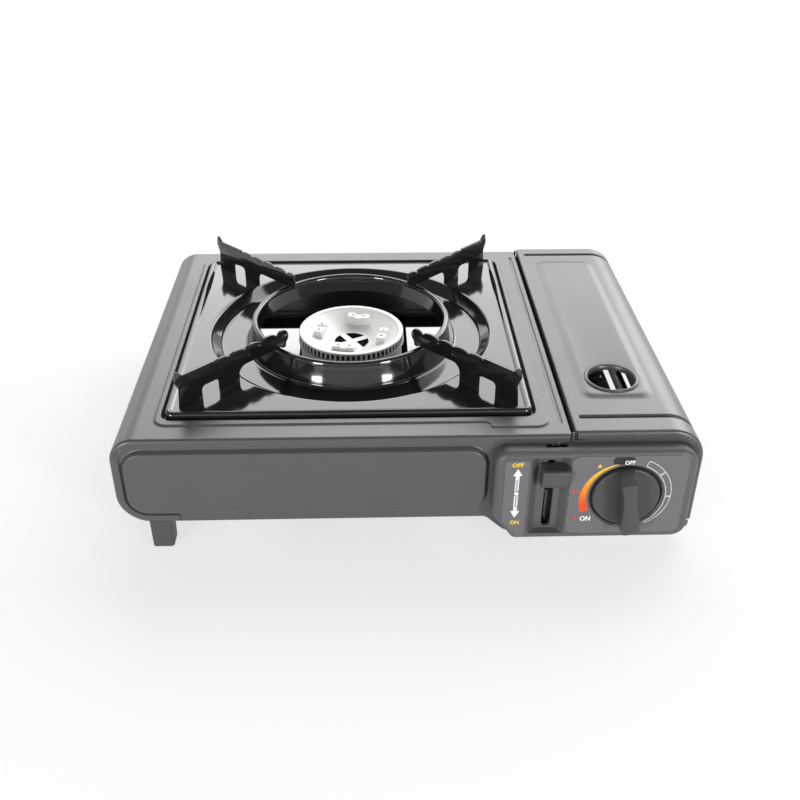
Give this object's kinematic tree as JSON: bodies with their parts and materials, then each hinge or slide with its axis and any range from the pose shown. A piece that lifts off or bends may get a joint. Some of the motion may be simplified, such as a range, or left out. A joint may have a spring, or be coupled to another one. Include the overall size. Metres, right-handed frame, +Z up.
{
  "type": "portable gas stove",
  "caption": "Low table stove in grey sheet steel: black drip tray with pan supports round a dished burner, hinged cartridge lid, panel with lock lever and flame knob.",
  "frame": {"origin": "on the table under the middle of the bounding box", "axes": "+X to the right along the width, +Y to the rear, +Z up; the control panel faces -Y"},
  "size_m": [0.342, 0.2804, 0.1057],
  "materials": {
    "grey_paint": "satin",
    "black_enamel": "gloss",
    "zinc_sheet": "satin",
    "bright_steel": "satin",
    "cast_alloy": "matte",
    "brass": "satin",
    "black_rubber": "matte",
    "grey_plastic": "satin",
    "black_plastic": "satin",
    "printed_film": "semi-gloss",
    "ceramic": "glazed",
    "lead_sleeve": "matte"
  },
  "bodies": {
    "stove": {"body_shell": "grey_paint", "front_panel": "grey_paint", "rear_panel": "grey_paint", "heat_shield": "zinc_sheet", "cartridge_pan": "zinc_sheet", "tall_feet": "black_rubber", "low_feet": "black_rubber", "burner_strap": "zinc_sheet", "burner_cup": "cast_alloy", "burner_head": "cast_alloy", "burner_screws": "bright_steel", "mixing_tube": "cast_alloy", "gas_jet": "brass", "gas_pipe": "cast_alloy", "regulator_body": "cast_alloy", "regulator_cover": "cast_alloy", "regulator_screws": "bright_steel", "inlet_nozzle": "brass", "inlet_seal": "black_rubber", "cartridge_locator": "zinc_sheet", "igniter_box": "black_plastic", "ignition_lead": "lead_sleeve", "electrode_insulator": "ceramic", "electrode_pin": "bright_steel", "electrode_bracket": "zinc_sheet", "control_panel": "grey_plastic", "lever_film": "printed_film", "dial_film": "printed_film", "panel_screw": "bright_steel", "lever_guide": "zinc_sheet", "hinge_pins": "bright_steel"},
    "lid": {"cartridge_lid": "grey_paint"},
    "knob": {"control_knob": "black_plastic", "valve_spindle": "brass"},
    "lever": {"lock_button": "grey_plastic", "cam_plate": "zinc_sheet"},
    "pusher": {"cartridge_pusher": "zinc_sheet", "cam_rod": "bright_steel"},
    "tray": {"drip_tray": "black_enamel", "support_front_left": "black_enamel", "support_front_right": "black_enamel", "support_rear_left": "black_enamel", "support_rear_right": "black_enamel"}
  },
  "joints": [
    {"name": "lid_hinge", "type": "hinge", "parent": "stove", "child": "lid", "pos_m": [0.1664, 0, 0.021], "axis": [0, 1, 0], "range_deg": [0, 90]},
    {"name": "knob_turn", "type": "hinge", "parent": "stove", "child": "knob", "pos_m": [0.1258, -0.12, 0.0423], "axis": [0, -1, 0], "range_deg": [0, 120]},
    {"name": "lever_slide", "type": "slide", "parent": "stove", "child": "lever", "axis": [0, 0, -1], "range_m": [0, 0.022]},
    {"name": "pusher_slide", "type": "slide", "parent": "stove", "child": "pusher", "axis": [0, -1, 0], "range_m": [0, 0.0066]},
    {"name": "tray_lift", "type": "slide", "parent": "stove", "child": "tray", "axis": [0, 0, 1], "range_m": [0, 0.06]}
  ],
  "couplings": [
    {"joint": "pusher_slide", "follows": "lever_slide", "ratio": 0.3}
  ]
}
